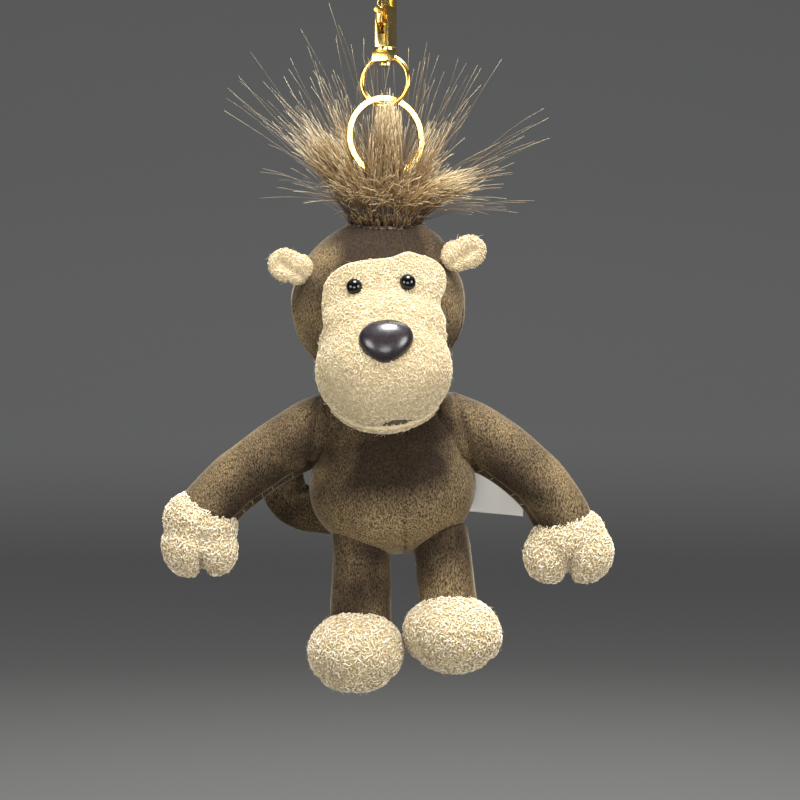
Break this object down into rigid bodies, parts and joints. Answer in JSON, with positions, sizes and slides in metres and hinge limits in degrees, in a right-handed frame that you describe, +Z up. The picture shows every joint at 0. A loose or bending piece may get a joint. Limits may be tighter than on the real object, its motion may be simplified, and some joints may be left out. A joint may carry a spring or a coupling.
{
  "type": "plush monkey charm",
  "caption": "Small plush monkey with jointed soft limbs, hung by a ribbon loop from a split key ring and a swivel snap clasp.",
  "frame": {"origin": "centre of the clasp's inner bow, where a strap or ring carries the charm", "axes": "+Z up along the hanging line, the toy faces -Y, +X is the toy's own left"},
  "size_m": [0.14, 0.0649, 0.2202],
  "materials": {
    "gold_plate": "polished gold plating",
    "spring_steel": "drawn wire",
    "ribbon": "woven ribbon",
    "washer_plastic": "moulded",
    "eye_gloss": "polished moulded plastic",
    "nose_gloss": "polished moulded plastic",
    "long_pile": "long faux fur",
    "pile_backing": "knitted backing",
    "fibre_fill": "loose polyester fibre",
    "satin": "woven satin tape",
    "cream_boucle": "curled boucle fleece",
    "brown_velour": "short pile velour"
  },
  "bodies": {
    "hook": {"snap_hook_body": "gold_plate", "gate_pin": "gold_plate", "gate_spring": "spring_steel", "swivel_rivet": "gold_plate"},
    "gate": {"snap_gate": "gold_plate"},
    "swivel": {"swivel_eye_ring": "gold_plate"},
    "key_ring": {"split_key_ring": "gold_plate"},
    "loop": {"hang_loop": "ribbon"},
    "head": {"head_cover_left": "brown_velour", "head_cover_right": "brown_velour", "face_panel": "cream_boucle", "chin_panel": "cream_boucle", "head_stuffing": "fibre_fill", "nose": "nose_gloss", "nose_washer": "washer_plastic", "eye_left": "eye_gloss", "eye_right": "eye_gloss", "eye_washer_left": "washer_plastic", "eye_washer_right": "washer_plastic", "hair_backing": "pile_backing", "hair_tuft_front": "long_pile", "hair_tuft_rear": "long_pile"},
    "ear_left": {"ear_left_front": "cream_boucle", "ear_left_back": "cream_boucle"},
    "ear_right": {"ear_right_front": "cream_boucle", "ear_right_back": "cream_boucle"},
    "torso": {"torso_front_left": "brown_velour", "torso_front_right": "brown_velour", "torso_back": "brown_velour", "torso_stuffing": "fibre_fill"},
    "label": {"side_label": "satin"},
    "tail": {"tail_cover": "brown_velour", "tail_stuffing": "fibre_fill"},
    "arm_left": {"arm_left_cover": "brown_velour", "arm_left_stuffing": "fibre_fill", "hand_left_cover": "cream_boucle", "hand_left_stuffing": "fibre_fill"},
    "leg_left": {"leg_left_cover": "brown_velour", "leg_left_stuffing": "fibre_fill", "foot_left_upper": "cream_boucle", "foot_left_sole": "cream_boucle", "foot_left_stuffing": "fibre_fill"},
    "arm_right": {"arm_right_cover": "brown_velour", "arm_right_stuffing": "fibre_fill", "hand_right_cover": "cream_boucle", "hand_right_stuffing": "fibre_fill"},
    "leg_right": {"leg_right_cover": "brown_velour", "leg_right_stuffing": "fibre_fill", "foot_right_upper": "cream_boucle", "foot_right_sole": "cream_boucle", "foot_right_stuffing": "fibre_fill"}
  },
  "joints": [
    {"name": "gate_hinge", "type": "hinge", "parent": "hook", "child": "gate", "pos_m": [-0.00031, -0.00095, -0.013], "axis": [-0.9511, 0.309, 0], "range_deg": [0, 18], "stiffness_Nm_per_rad": 0.0002, "springref_deg": -14.32},
    {"name": "swivel_turn", "type": "hinge", "parent": "hook", "child": "swivel", "pos_m": [0, 0, -0.022], "axis": [0, 0, 1], "continuous": true},
    {"name": "key_ring_swing", "type": "hinge", "parent": "swivel", "child": "key_ring", "pos_m": [0, 0, -0.03825], "axis": [0.9397, -0.342, 0], "range_deg": [-60, 60]},
    {"name": "loop_slide", "type": "hinge", "parent": "key_ring", "child": "loop", "pos_m": [0, 0, -0.04765], "axis": [-0.3746, 0.9272, 0], "range_deg": [-60, 60]},
    {"name": "head_swing", "type": "hinge", "parent": "loop", "child": "head", "pos_m": [0, 0, -0.0716], "axis": [1, 0, 0], "range_deg": [-25, 25], "deforming": ["hair_tuft_front", "hair_tuft_rear"]},
    {"name": "neck_nod", "type": "hinge", "parent": "head", "child": "torso", "pos_m": [0, 0.0051, -0.124], "axis": [1, 0, 0], "range_deg": [-3, 12], "stiffness_Nm_per_rad": 0.05},
    {"name": "ear_left_fold", "type": "hinge", "parent": "head", "child": "ear_left", "pos_m": [0.02065, -0.0059, -0.083], "axis": [0, 0, 1], "range_deg": [-25, 25], "stiffness_Nm_per_rad": 0.0001},
    {"name": "ear_right_fold", "type": "hinge", "parent": "head", "child": "ear_right", "pos_m": [-0.02475, -0.0059, -0.087], "axis": [0, 0, 1], "range_deg": [-25, 25], "stiffness_Nm_per_rad": 0.0001},
    {"name": "arm_left_swing", "type": "hinge", "parent": "torso", "child": "arm_left", "pos_m": [0.02895, 0.0041, -0.1376], "axis": [0, 0, -1], "range_deg": [-8, 60], "stiffness_Nm_per_rad": 0.006},
    {"name": "arm_right_swing", "type": "hinge", "parent": "torso", "child": "arm_right", "pos_m": [-0.02675, 0.0041, -0.1396], "axis": [0, 0, 1], "range_deg": [-8, 60], "stiffness_Nm_per_rad": 0.006},
    {"name": "leg_left_swing", "type": "hinge", "parent": "torso", "child": "leg_left", "pos_m": [0.01855, 0.0011, -0.1784], "axis": [-1, 0, 0], "range_deg": [-20, 45], "stiffness_Nm_per_rad": 0.012},
    {"name": "leg_right_swing", "type": "hinge", "parent": "torso", "child": "leg_right", "pos_m": [-0.00895, 0.0011, -0.1806], "axis": [-1, 0, 0], "range_deg": [-20, 45], "stiffness_Nm_per_rad": 0.012},
    {"name": "tail_wag", "type": "hinge", "parent": "torso", "child": "tail", "pos_m": [-0.01535, 0.0245, -0.161], "axis": [0, 1, 0], "range_deg": [-20, 20], "stiffness_Nm_per_rad": 0.002},
    {"name": "label_flap", "type": "hinge", "parent": "torso", "child": "label", "pos_m": [0.02245, 0.0153, -0.154], "axis": [0, 0, 1], "range_deg": [0, 40], "stiffness_Nm_per_rad": 0.00005}
  ]
}
